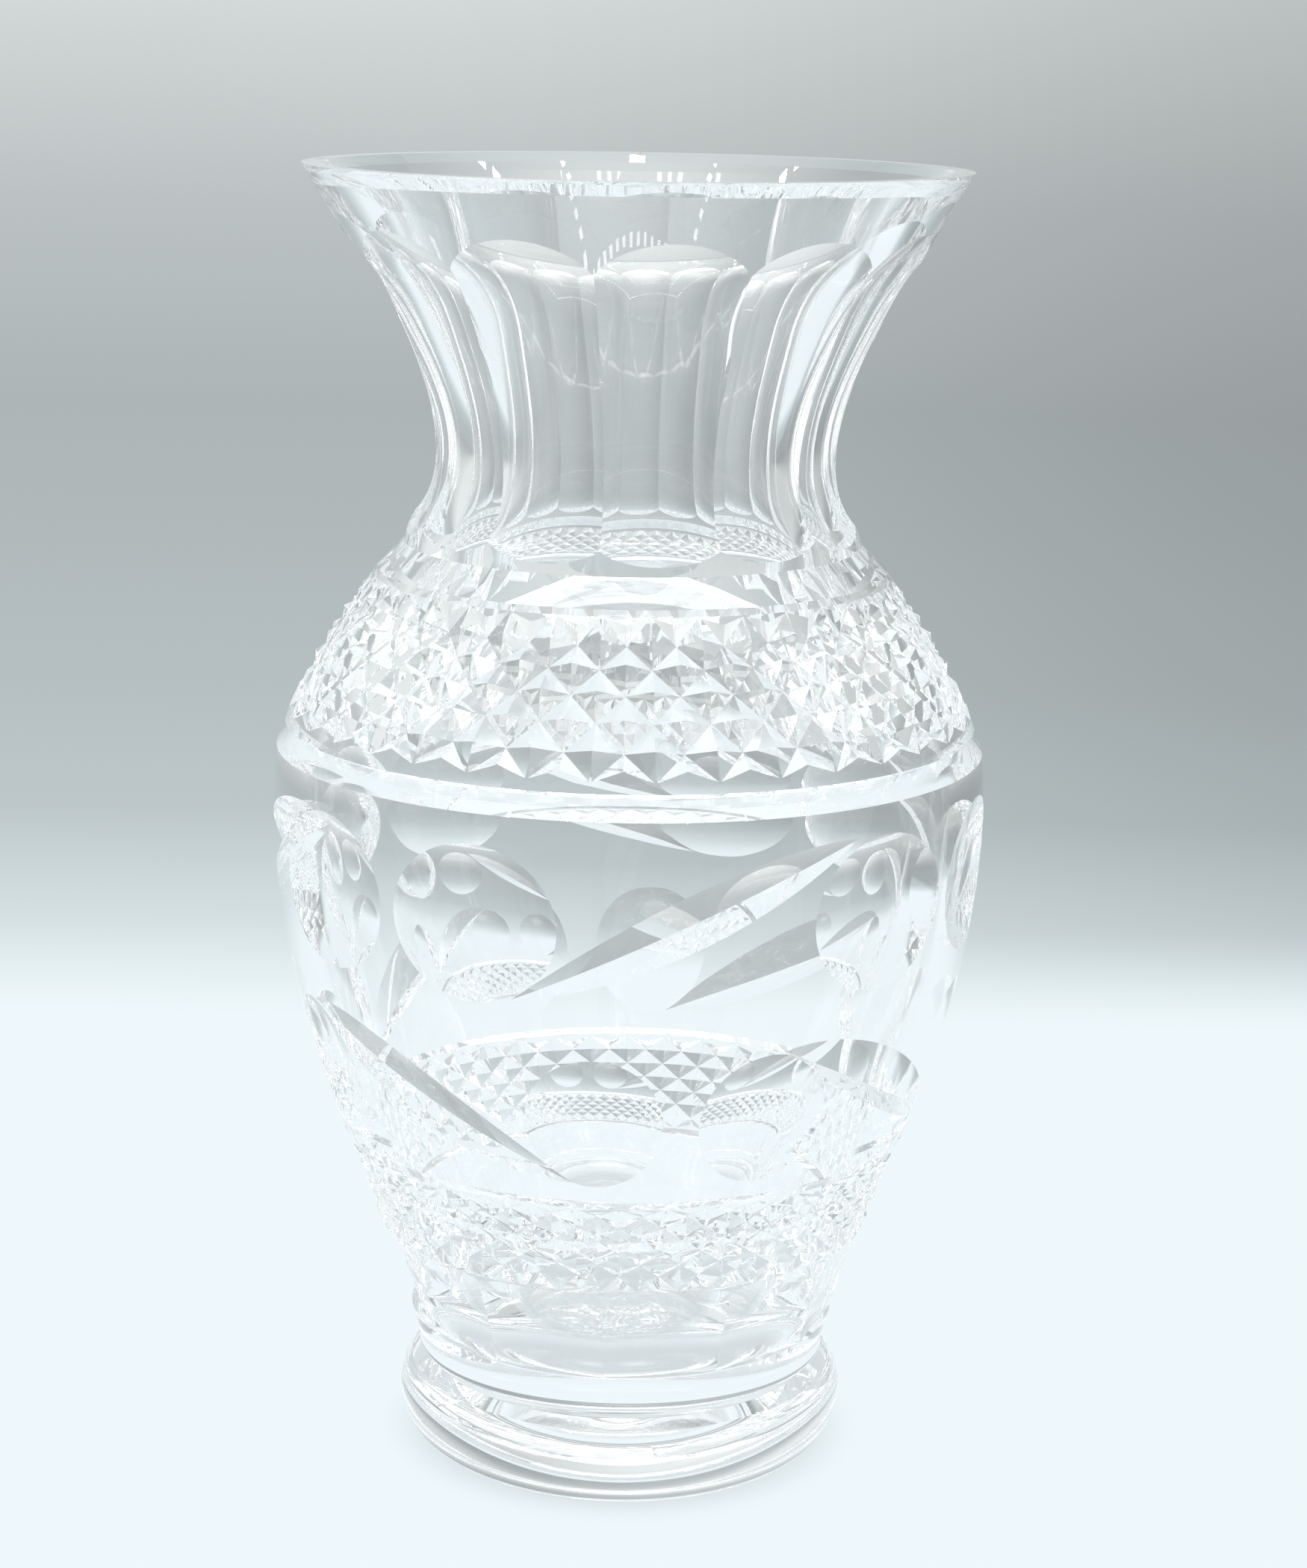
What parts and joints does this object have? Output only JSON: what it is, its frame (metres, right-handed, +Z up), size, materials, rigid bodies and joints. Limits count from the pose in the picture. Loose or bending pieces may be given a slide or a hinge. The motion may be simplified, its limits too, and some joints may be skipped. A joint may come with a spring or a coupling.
{
  "type": "cut crystal vase",
  "caption": "Tall open vase of clear cut glass with a flared fluted neck, bands of pointed diamonds, hollow ovals, slanting leaf cuts and a round foot.",
  "frame": {"origin": "centre of the underside of the foot, on the table", "axes": "+Z up along the axis of the vase, -Y towards the front of the vase, +X to its right"},
  "size_m": [0.1392, 0.1392, 0.254],
  "materials": {
    "crystal": "polished, clear and colourless"
  },
  "bodies": {
    "root": {"vase_body": "crystal"}
  },
  "joints": []
}
